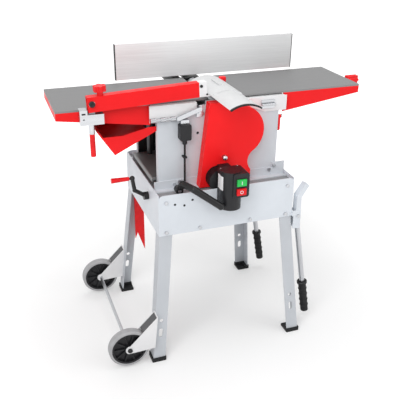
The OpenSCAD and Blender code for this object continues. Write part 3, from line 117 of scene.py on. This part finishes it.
# Switch box: its round front, the blank label on its left side, the marks of its buttons and its screws
COLUMN_X, COLUMN_Y, COLUMN_R = -1, -259.5, 36.5
LABEL_BACK, LABEL_Z = -239, (652, 701.5)
LABEL_BEND, LABEL_STEPS = 25, 10
LABEL_OUT, LABEL_IN = 0.3, 0.6
ON_MARK_BOX = ((19.2, -307.5, 679.5), (21.8, -306.8, 691.5))
OFF_MARK, OFF_MARK_R, OFF_MARK_W, OFF_MARK_H = (20.5, -306.9, 652.5), 6, 2, 0.5
SWITCH_SCREWS = ((-31, -243, 718.8), (31, -236, 718.8))
SWITCH_SCREW_R = 2.6

# Fence: its two ends and the caps over them
FENCE_ENDS = (-283, 409)
FENCE_CAP_HALF = 1.6
FENCE_CAP_Y, FENCE_CAP_Z = (150.4, 165.6), (934.4, 1062)

# Wheel brackets: the axle, the cheeks, and the folded web along their sloping edge, dark grey as painted
# shade between the cheeks
WHEEL_X, WHEEL_Z = -372.5, 82
WHEELS = (("front", -258), ("rear", 242))
CHEEK_IN, CHEEK_OUT, NUT_R = 18.8, 22, 8.5
WEB_TOP, WEB_ALONG = (-267.7, 199.9), (-57.9, -57.7)
WEB_SECTION = ((2, 1), (80, 1), (80, 10), (78, 10), (78, 3), (2, 3))

# Handles: pivot, lean, the collar above each grip, and the flange that goes past it
HANDLE_X, HANDLE_Z, HANDLE_LEAN = 281, 488, 9.5
HANDLES = (("front", -220), ("rear", 204))
COLLAR_DROP, COLLAR_R, COLLAR_H, TUBE_R = 311.1, 19.6, 8, 10.1
FLANGE_PAST = 0.6
FLANGE_LOW, FLANGE_TOP, FLANGE_ROUND = 0.97, 0.94, 0.1

# Holes of the front and rear panels, and the black plugs in them, which are painted shade for the dark inside
# of the base
PANEL_HOLES = ((-186, 602.5), (-153, 595), (-124, 611.5))
PLUG_SIDES = (("panel_plug_%d", -226.6, FRONT), ("rear_plug_%d", 210.6, REAR))
PLUG_R = 4.2


# Camera, light and floor

def make_camera():
    yaw, pitch, roll = (math.radians(v) for v in (YAW, PITCH, ROLL))
    forward = Vector((math.sin(yaw) * math.cos(pitch), math.cos(yaw) * math.cos(pitch), -math.sin(pitch)))
    right = Vector((math.cos(yaw), -math.sin(yaw), 0.0))
    up = right.cross(forward)
    side = right * math.cos(roll) + up * math.sin(roll)
    top = up * math.cos(roll) - right * math.sin(roll)
    data = bpy.data.cameras.new("camera")
    data.lens = LENS
    data.sensor_width = SENSOR
    data.clip_start = CLIP_NEAR
    data.clip_end = CLIP_FAR
    camera = bpy.data.objects.new("camera", data)
    bpy.context.scene.collection.objects.link(camera)
    turn = Matrix((side, top, -forward)).transposed().to_4x4()
    camera.matrix_world = Matrix.Translation(EYE) @ turn
    bpy.context.scene.camera = camera


def area_light(name, place, size, power):
    data = bpy.data.lights.new(name, "AREA")
    data.shape = "SQUARE"
    data.size = size
    data.energy = power
    light = bpy.data.objects.new(name, data)
    bpy.context.scene.collection.objects.link(light)
    light.location = place
    light.rotation_euler = (Vector(LAMP_AIM) - Vector(place)).to_track_quat("-Z", "Y").to_euler()


def seen_directly(tree):
    """One where a ray comes from the camera, a reflection or through glass."""
    path = tree.nodes.new("ShaderNodeLightPath")
    value = path.outputs["Is Camera Ray"]
    for name in ("Is Glossy Ray", "Is Transmission Ray"):
        add = tree.nodes.new("ShaderNodeMath")
        add.operation = "ADD"
        add.use_clamp = True
        tree.links.new(value, add.inputs[0])
        tree.links.new(path.outputs[name], add.inputs[1])
        value = add.outputs[0]
    return value


def make_world():
    world = bpy.data.worlds.new("studio")
    bpy.context.scene.world = world
    world.use_nodes = True
    tree = world.node_tree
    tree.nodes.clear()
    dim, white = (tree.nodes.new("ShaderNodeBackground") for _ in range(2))
    dim.inputs["Strength"].default_value = WORLD_STRENGTH
    for node in (dim, white):
        node.inputs["Color"].default_value = (*WHITE, 1)
    mix = tree.nodes.new("ShaderNodeMixShader")
    out = tree.nodes.new("ShaderNodeOutputWorld")
    tree.links.new(seen_directly(tree), mix.inputs[0])
    tree.links.new(dim.outputs[0], mix.inputs[1])
    tree.links.new(white.outputs[0], mix.inputs[2])
    tree.links.new(mix.outputs[0], out.inputs[0])


def map_range(tree, value, limits):
    """Takes a value from between the first two limits to between the last two."""
    node = tree.nodes.new("ShaderNodeMapRange")
    for name, limit in zip(RANGE_SOCKETS, limits):
        node.inputs[name].default_value = limit
    tree.links.new(value, node.inputs["Value"])
    return node


def floor_lift(tree):
    """Grows with the distance from the object, where the lamps fall off."""
    place = tree.nodes.new("ShaderNodeTexCoord")
    length = tree.nodes.new("ShaderNodeVectorMath")
    length.operation = "LENGTH"
    tree.links.new(place.outputs["Object"], length.inputs[0])
    spread = map_range(tree, length.outputs["Value"], FLOOR_LIFT)
    spread.interpolation_type = "SMOOTHSTEP"
    return spread.outputs[0]


def floor_material():
    material = bpy.data.materials.new("floor")
    material.use_nodes = True
    tree = material.node_tree
    shader = tree.nodes["Principled BSDF"]
    shader.inputs["Base Color"].default_value = (*FLOOR_COLOUR, 1)
    shader.inputs["Roughness"].default_value = FLOOR_ROUGH
    shader.inputs["Specular IOR Level"].default_value = 0.0
    shader.inputs["Emission Color"].default_value = (*WHITE, 1)
    lift = tree.nodes.new("ShaderNodeMath")
    lift.operation = "MULTIPLY"
    tree.links.new(seen_directly(tree), lift.inputs[0])
    tree.links.new(floor_lift(tree), lift.inputs[1])
    tree.links.new(lift.outputs[0], shader.inputs["Emission Strength"])
    return material


def make_floor():
    mesh = bpy.data.meshes.new("floor")
    signs = ((-1, -1), (1, -1), (1, 1), (-1, 1))
    corners = [(x * FLOOR_REACH, y * FLOOR_REACH, 0) for x, y in signs]
    mesh.from_pydata(corners, [], [tuple(range(len(corners)))])
    mesh.materials.append(floor_material())
    floor = bpy.data.objects.new("floor", mesh)
    bpy.context.scene.collection.objects.link(floor)


# Materials

class Surface:
    """A principled material built up from procedural noise in object space."""

    def __init__(self, name, colour, rough, metal=0.0, shine=0.5):
        self.material = bpy.data.materials.new(name)
        self.material.use_nodes = True
        self.tree = self.material.node_tree
        self.shader = self.tree.nodes["Principled BSDF"]
        self.colour = colour
        self.rough = rough
        self.shader.inputs["Base Color"].default_value = (*colour, 1)
        self.shader.inputs["Roughness"].default_value = rough
        self.shader.inputs["Metallic"].default_value = metal
        self.shader.inputs["Specular IOR Level"].default_value = shine
        self.place = self.tree.nodes.new("ShaderNodeTexCoord").outputs["Object"]

    def noise(self, scale, detail, stretch):
        mapping = self.tree.nodes.new("ShaderNodeMapping")
        mapping.inputs["Scale"].default_value = stretch
        self.tree.links.new(self.place, mapping.inputs["Vector"])
        node = self.tree.nodes.new("ShaderNodeTexNoise")
        node.inputs["Scale"].default_value = scale
        node.inputs["Detail"].default_value = detail
        self.tree.links.new(mapping.outputs[0], node.inputs["Vector"])
        return node.outputs["Fac"]

    def ramp(self, value, low, high):
        node = self.tree.nodes.new("ShaderNodeValToRGB")
        first, last = node.color_ramp.elements
        first.position, last.position = RAMP_START, RAMP_END
        first.color, last.color = (*low, 1), (*high, 1)
        self.tree.links.new(value, node.inputs[0])
        return node.outputs[0]

    def split(self):
        """The place on the object as separate x, y and z."""
        node = self.tree.nodes.new("ShaderNodeSeparateXYZ")
        self.tree.links.new(self.place, node.inputs[0])
        return node.outputs

    def mottle(self, scale, spread, stretch=(EVEN, EVEN, EVEN)):
        """Varies the colour by a share of itself."""
        low = tuple(max(0.0, c * (1 - spread)) for c in self.colour)
        high = tuple(min(1.0, c * (1 + spread)) for c in self.colour)
        value = self.noise(scale, MOTTLE_DETAIL, stretch)
        self.tree.links.new(self.ramp(value, low, high), self.shader.inputs["Base Color"])
        return self

    def scuff(self, scale, spread, stretch=(EVEN, EVEN, EVEN)):
        """Varies the roughness."""
        low = max(LEAST_ROUGH, self.rough - spread)
        high = min(1.0, self.rough + spread)
        value = self.noise(scale, SCUFF_DETAIL, stretch)
        self.tree.links.new(self.ramp(value, (low,) * 3, (high,) * 3), self.shader.inputs["Roughness"])
        return self

    def fade(self, limits):
        """Painted sheen: scales the mottled colour from one end of the object to the other, along x."""
        share = map_range(self.tree, self.split()["X"], limits)
        scale = self.tree.nodes.new("ShaderNodeVectorMath")
        scale.operation = "SCALE"
        target = self.shader.inputs["Base Color"]
        self.tree.links.new(target.links[0].from_socket, scale.inputs[0])
        self.tree.links.new(share.outputs[0], scale.inputs["Scale"])
        self.tree.links.new(scale.outputs[0], target)
        return self

    def painted_shade(self, middle, half, colour):
        """Painted shade: gives what lies inside an upright box another colour than the mottled one."""
        place = self.split()
        share = self.tree.nodes.new("ShaderNodeMath")
        share.operation = "MULTIPLY"
        for i in range(2):
            within = self.tree.nodes.new("ShaderNodeMath")
            within.operation = "COMPARE"
            within.inputs[1].default_value = middle[i]
            within.inputs[2].default_value = half[i]
            self.tree.links.new(place[i], within.inputs[0])
            self.tree.links.new(within.outputs[0], share.inputs[i])
        mix = self.tree.nodes.new("ShaderNodeMixRGB")
        mix.inputs[2].default_value = (*colour, 1)
        target = self.shader.inputs["Base Color"]
        self.tree.links.new(target.links[0].from_socket, mix.inputs[1])
        self.tree.links.new(share.outputs[0], mix.inputs[0])
        self.tree.links.new(mix.outputs[0], target)
        return self

    def bump(self, scale, height, stretch=(EVEN, EVEN, EVEN)):
        node = self.tree.nodes.new("ShaderNodeBump")
        node.inputs["Strength"].default_value = 1.0
        node.inputs["Distance"].default_value = height
        self.tree.links.new(self.noise(scale, BUMP_DETAIL, stretch), node.inputs["Height"])
        self.tree.links.new(node.outputs[0], self.shader.inputs["Normal"])
        return self


def paint(name, colour, rough=0.42, shine=0.5, painted_shade=None):
    """Powder coat with fine orange peel, faint clouds and dull patches, and perhaps painted shade darkening
    the throat.
    """
    surface = Surface(name, colour, rough, shine=shine).mottle(*PAINT_CLOUDS)
    if painted_shade:
        surface.painted_shade(THROAT_MIDDLE, THROAT_HALF, painted_shade)
    return surface.scuff(*PAINT_DULLING).bump(*PAINT_PEEL).material


def plastic(name, colour, rough, grain=GRAIN, shine=0.4):
    """Moulded plastic or rubber with a fine grain."""
    surface = Surface(name, colour, rough, shine=shine).mottle(*PLASTIC_CLOUDS)
    return surface.scuff(*PLASTIC_DULLING).bump(GRAIN_SCALE, grain).material


def metal(name, colour, rough, along, lines=METAL_LINES, depth=LINE_DEPTH, share=1.0, spread=0.10, fade=None):
    """Metal with brush or turning lines along one axis, and perhaps a painted sheen that scales its colour
    along x.
    """
    stretch = tuple(ALONG_LINES if i == along else EVEN for i in range(3))
    surface = Surface(name, colour, rough, metal=share).mottle(lines, spread, stretch)
    if fade:
        surface.fade(fade)
    return surface.scuff(lines, METAL_DULLING, stretch).bump(lines, depth, stretch).material


MATERIALS = {
    "sheet_grey": paint("sheet_grey", (0.61, 0.64, 0.68)),
    "deck_grey": paint("deck_grey", (0.26, 0.265, 0.275)),
    # Painted shade: near-black grey for the bracket webs, which stand in for the shade between the cheeks
    "web_painted_shade": paint("web_painted_shade", (0.075, 0.076, 0.08)),
    "white_paint": paint("white_paint", (0.80, 0.80, 0.81)),
    "red_paint": paint("red_paint", (0.88, 0.013, 0.016), rough=0.40, shine=0.18),
    "red_plastic": plastic("red_plastic", (0.80, 0.014, 0.018), rough=0.38, shine=0.25),
    "green_plastic": plastic("green_plastic", (0.03, 0.56, 0.10), rough=0.35, shine=0.3),
    "black_plastic": plastic("black_plastic", (0.010, 0.010, 0.012), rough=0.42, shine=0.35),
    "black_metal": paint("black_metal", (0.010, 0.010, 0.011), rough=0.36, shine=0.35),
    "ground_iron": metal("ground_iron", (0.245, 0.245, 0.247), rough=0.55, along=0, share=0.7, spread=0.05),
    "aluminium": metal("aluminium", (0.70, 0.705, 0.71), rough=0.42, along=0, share=0.85, spread=0.05),
    "steel": metal("steel", (0.52, 0.53, 0.55), rough=0.32, along=2),
    # Painted shade: steel darkened near black for the frame bars, which lie in shade inside the throat
    "steel_painted_shade": metal("steel_painted_shade", (0.07, 0.07, 0.073), rough=0.38, along=2),
    "chrome": metal("chrome", (0.52, 0.53, 0.55), rough=0.24, along=0, lines=POLISH_LINES,
                    depth=POLISH_DEPTH, spread=0.12),
    "tyre": plastic("tyre", (0.40, 0.40, 0.41), rough=0.75, grain=COARSE_GRAIN),
    "rubber": plastic("rubber", (0.010, 0.010, 0.011), rough=0.6, grain=COARSE_GRAIN, shine=0.3),
    "label": plastic("label", (0.82, 0.82, 0.83), rough=0.5, grain=FINE_GRAIN),
    "leg_grey": paint("leg_grey", (0.54, 0.565, 0.60)),
    "panel_grey": paint("panel_grey", (0.72, 0.76, 0.81)),
    # Painted light: a brighter copy of red_paint that lifts the belt cover where it lies in shade
    "cover_red_painted_light": paint("cover_red_painted_light", (0.96, 0.013, 0.016), rough=0.40, shine=0.18),
    # Side plates: their inner faces in the throat are darkened near black as painted shade
    "plate_grey": paint("plate_grey", (0.61, 0.64, 0.68), painted_shade=THROAT_PAINTED_SHADE),
    # The fence's sheen is painted: its colour is scaled brighter towards its left end
    "fence_sheet": metal("fence_sheet", (0.70, 0.705, 0.71), rough=0.42, along=0, share=0.5, spread=0.04,
                         fade=FENCE_PAINTED_SHEEN),
}

# Nodes whose look differs from that of their slot in the record
OWN_LOOKS = {
    "legs": "leg_grey",
    "fence_plate": "fence_sheet",
    "base_front_panel": "panel_grey",
    "base_left_panel": "panel_grey",
    "base_right_panel": "panel_grey",
    "base_rear_panel": "panel_grey",
    # The belt cover is brightened as painted light
    "belt_cover": "cover_red_painted_light",
    "side_plate_front": "plate_grey",
    "side_plate_rear": "plate_grey",
    # The frame bars' steel is darkened as painted shade
    "frame_bars": "steel_painted_shade",
}


def dress_all():
    for part in frame["record"]["subparts"]:
        node = part["node"]
        look = OWN_LOOKS.get(node, part["material_slot"])
        slots = NODES[node].data.materials
        slots.clear()
        slots.append(MATERIALS[look])


# Shapes of the small pieces

def at(x, y, z):
    """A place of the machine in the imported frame, in metres."""
    return Vector(((x - ORIGIN[0]) * MM, (y - ORIGIN[1]) * MM, z * MM))


def soften(piece, width):
    edge = piece.modifiers.new("soft_edges", "BEVEL")
    edge.width = width * MM
    edge.segments = EDGE_SEGMENTS
    edge.limit_method = "ANGLE"
    edge.angle_limit = math.radians(EDGE_ANGLE)
    edge.harden_normals = True


def add_piece(name, bm, body, look, bevel=0.0):
    bmesh.ops.recalc_face_normals(bm, faces=bm.faces)
    mesh = bpy.data.meshes.new(name)
    bm.to_mesh(mesh)
    bm.free()
    mesh.materials.append(MATERIALS[look])
    piece = bpy.data.objects.new(name, mesh)
    bpy.context.scene.collection.objects.link(piece)
    if bevel:
        soften(piece, bevel)
    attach(piece, body)


def turned(profile, place, axis, steps=32, ring=False):
    """A lathe form: (radius, height) pairs in millimetres turned about an axis, as a solid or a ring."""
    bm = bmesh.new()
    turn = Vector(UP).rotation_difference(Vector(axis)).to_matrix()
    loops = []
    for radius, height in profile:
        loop = []
        for i in range(steps):
            angle = 2 * math.pi * i / steps
            local = Vector((radius * math.cos(angle), radius * math.sin(angle), height)) * MM
            loop.append(bm.verts.new(place + turn @ local))
        loops.append(loop)
    following = loops[1:] + loops[:1] if ring else loops[1:]
    for low, high in zip(loops, following):
        for i in range(steps):
            j = (i + 1) % steps
            bm.faces.new((low[i], low[j], high[j], high[i]))
    if not ring:
        bm.faces.new(loops[0])
        bm.faces.new(loops[-1])
    for face in bm.faces:
        face.smooth = len(face.verts) == 4
    return bm


def slab(low, high):
    """A box between two corners in millimetres."""
    bm = bmesh.new()
    bmesh.ops.create_cube(bm, size=1.0)
    a, b = at(*low), at(*high)
    for vert in bm.verts:
        vert.co = Vector(a[i] + (b[i] - a[i]) * (vert.co[i] + 0.5) for i in range(3))
    return bm


def prism(near, far):
    """A solid between two outlines with the same count of places."""
    bm = bmesh.new()
    near, far = ([bm.verts.new(at(*place)) for place in outline] for outline in (near, far))
    bm.faces.new(near)
    bm.faces.new(far)
    for i in range(len(near)):
        j = (i + 1) % len(near)
        bm.faces.new((near[i], near[j], far[j], far[i]))
    return bm


def scaled(shares, size):
    """A profile in millimetres from shares of one size."""
    return [(radius * size, height * size) for radius, height in shares]


def socket_screw(name, place, axis, radius, body, look="black_metal"):
    """A round head with a chamfered rim and a sunk socket."""
    head = turned(scaled(SCREW_HEAD, radius), at(*place), axis, SCREW_STEPS)
    add_piece(name, head, body, look)


def arch_strip(name, body):
    """The dark edge strip round the front end of the bridge guard."""
    bm = bmesh.new()
    half = math.asin(BRIDGE_HALF / ARCH_R)
    front, back = STRIP_Y
    outer, inner = ARCH_R + STRIP_OUT, ARCH_R - STRIP_IN
    section = [(outer, front), (outer, back), (inner, back), (inner, front)]
    rows = []
    for i in range(ARCH_STEPS + 1):
        angle = half * (2 * i / ARCH_STEPS - 1)
        places = [at(BRIDGE_X + r * math.sin(angle), y, ARCH_Z + r * math.cos(angle)) for r, y in section]
        rows.append([bm.verts.new(place) for place in places])
    for one, two in zip(rows, rows[1:]):
        for k in range(len(section)):
            n = (k + 1) % len(section)
            bm.faces.new((one[k], one[n], two[n], two[k]))
    bm.faces.new(rows[0])
    bm.faces.new(rows[-1])
    add_piece(name, bm, body, "rubber", SOFT_EDGE)


def label_path(depth):
    """Where the blank label lies on the switch box: along its flat side, then round its front."""
    radius = COLUMN_R + depth
    turns = (math.radians(LABEL_BEND * i / LABEL_STEPS) for i in range(LABEL_STEPS + 1))
    bend = [(COLUMN_X - radius * math.cos(a), COLUMN_Y - radius * math.sin(a)) for a in turns]
    return [(COLUMN_X - radius, LABEL_BACK)] + bend


# Small pieces, group by group

def guard_details():
    arch_strip("bridge_edge", "guard_bridge")
    add_piece("bridge_tab", slab(*TAB_BOX), "guard_bridge", "red_plastic", TAB_EDGE)
    socket_screw("pivot_cap", PIVOT_CAP, FRONT, PIVOT_CAP_R, "frame")
    for name, place, radius in ARM_SCREWS:
        socket_screw(name, place, FRONT, radius, "guard_arm")


def switch_details():
    outline = label_path(LABEL_OUT) + label_path(-LABEL_IN)[::-1]
    levels = ([(x, y, z) for x, y in outline] for z in LABEL_Z)
    add_piece("blank_label", prism(*levels), "frame", "label", MARK_EDGE)
    add_piece("on_mark", slab(*ON_MARK_BOX), "start_button", "label", MARK_EDGE)
    outer, inner = OFF_MARK_R, OFF_MARK_R - OFF_MARK_W
    section = [(outer, 0), (outer, OFF_MARK_H), (inner, OFF_MARK_H), (inner, 0)]
    add_piece("off_mark", turned(section, at(*OFF_MARK), FRONT, ring=True), "stop_button", "label")
    for i, place in enumerate(SWITCH_SCREWS):
        socket_screw("switch_screw_%d" % i, place, UP, SWITCH_SCREW_R, "frame", "chrome")


def fence_details():
    (y0, y1), (z0, z1) = FENCE_CAP_Y, FENCE_CAP_Z
    for i, x in enumerate(FENCE_ENDS):
        cap = slab((x - FENCE_CAP_HALF, y0, z0), (x + FENCE_CAP_HALF, y1, z1))
        add_piece("fence_cap_%d" % i, cap, "fence", "black_plastic", SOFT_EDGE)


def wheel_details():
    along = Vector(WEB_ALONG).normalized()
    inward = Vector((-along[1], along[0]))
    web = [Vector(WEB_TOP) + along * a + inward * d for a, d in WEB_SECTION]
    nut = scaled(NUT_HEAD, NUT_R)
    for label, y in WHEELS:
        sides = ([(x, y + across, z) for x, z in web] for across in (-CHEEK_IN, CHEEK_IN))
        # The web is dark grey: painted shade between the cheeks
        add_piece("bracket_web_painted_shade_" + label, prism(*sides), "frame", "web_painted_shade", WEB_EDGE)
        outward = math.copysign(1, y)
        place = at(WHEEL_X, y + outward * CHEEK_OUT, WHEEL_Z)
        add_piece("axle_nut_" + label, turned(nut, place, (0, outward, 0)), "frame", "black_metal")


def handle_details():
    """A moulded flange of the grip over the collar of each handle."""
    lean = math.radians(HANDLE_LEAN)
    axis = Vector((-math.sin(lean), 0, math.cos(lean)))
    low, high = -FLANGE_PAST, COLLAR_H + FLANGE_PAST
    profile = [
        (TUBE_R, low),
        (FLANGE_LOW * COLLAR_R, low),
        (COLLAR_R, FLANGE_ROUND * COLLAR_H),
        (COLLAR_R, (1 - FLANGE_ROUND) * COLLAR_H),
        (FLANGE_TOP * COLLAR_R, high),
        (TUBE_R, high),
    ]
    for label, y in HANDLES:
        foot = at(HANDLE_X, y, HANDLE_Z) - axis * COLLAR_DROP * MM
        flange = turned(profile, foot, axis, ring=True)
        add_piece("grip_flange_" + label, flange, "handle_" + label, "rubber")


def stand_details():
    # Black plugs in the panel holes: painted shade for the dark inside of the base
    for i, (x, z) in enumerate(PANEL_HOLES):
        for name, y, outward in PLUG_SIDES:
            socket_screw(name % i, (x, y, z), outward, PLUG_R, "frame")


def soften_nodes():
    for name in sorted(NODES):
        soften(NODES[name], SOFT_EDGE)


make_camera()
make_world()
make_floor()
for lamp in LAMPS:
    area_light(*lamp)
dress_all()
guard_details()
switch_details()
fence_details()
wheel_details()
handle_details()
stand_details()
soften_nodes()

bpy.context.scene.view_settings.view_transform = "Standard"
